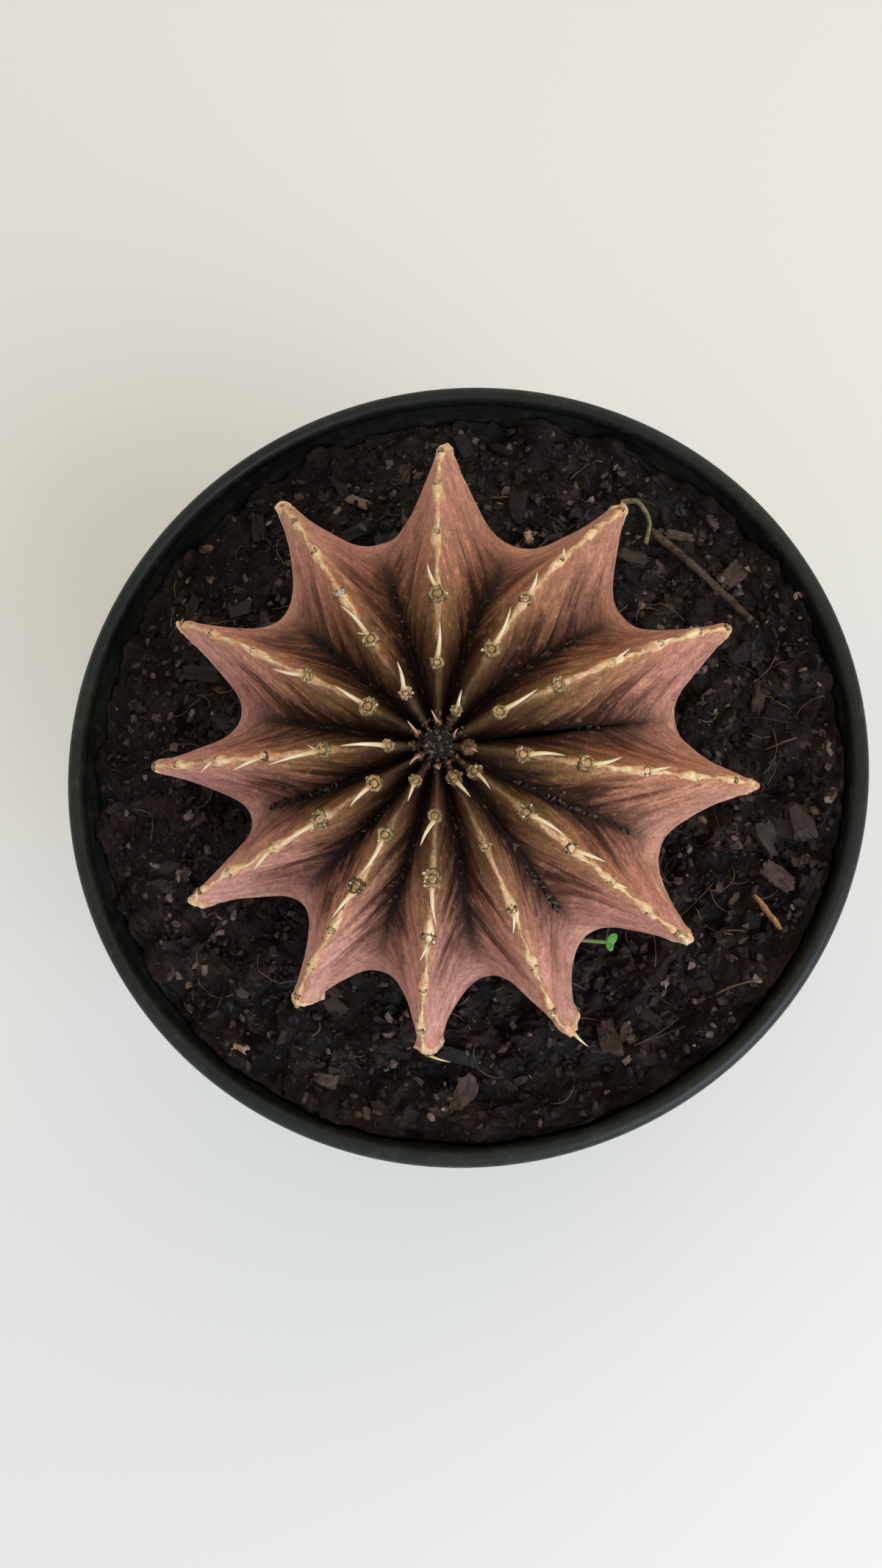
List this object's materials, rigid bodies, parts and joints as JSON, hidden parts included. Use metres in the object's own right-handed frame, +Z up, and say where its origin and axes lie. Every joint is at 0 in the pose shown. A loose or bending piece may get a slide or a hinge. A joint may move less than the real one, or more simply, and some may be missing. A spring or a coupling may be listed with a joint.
{
  "type": "potted cactus",
  "caption": "Flattened ribbed cactus with short spines, growing in dark bark soil in a round plastic nursery pot with a rolled rim.",
  "frame": {"origin": "middle of the pot's foot, on the surface that the pot stands on", "axes": "+Z up along the pot's axis, -Y towards the viewer of the picture, +X to the viewer's right"},
  "size_m": [0.12, 0.12, 0.1319],
  "materials": {
    "pot_plastic": "satin",
    "bark_soil": "matte",
    "cactus_skin": "satin",
    "seedling_green": "satin",
    "dry_twig": "matte",
    "dry_straw": "matte",
    "bark_sliver": "matte"
  },
  "bodies": {
    "root": {"pot": "pot_plastic", "soil": "bark_soil", "cactus": "cactus_skin", "seedling": "seedling_green", "twig": "dry_twig", "straw": "dry_straw", "bark_sliver": "bark_sliver"}
  },
  "joints": []
}
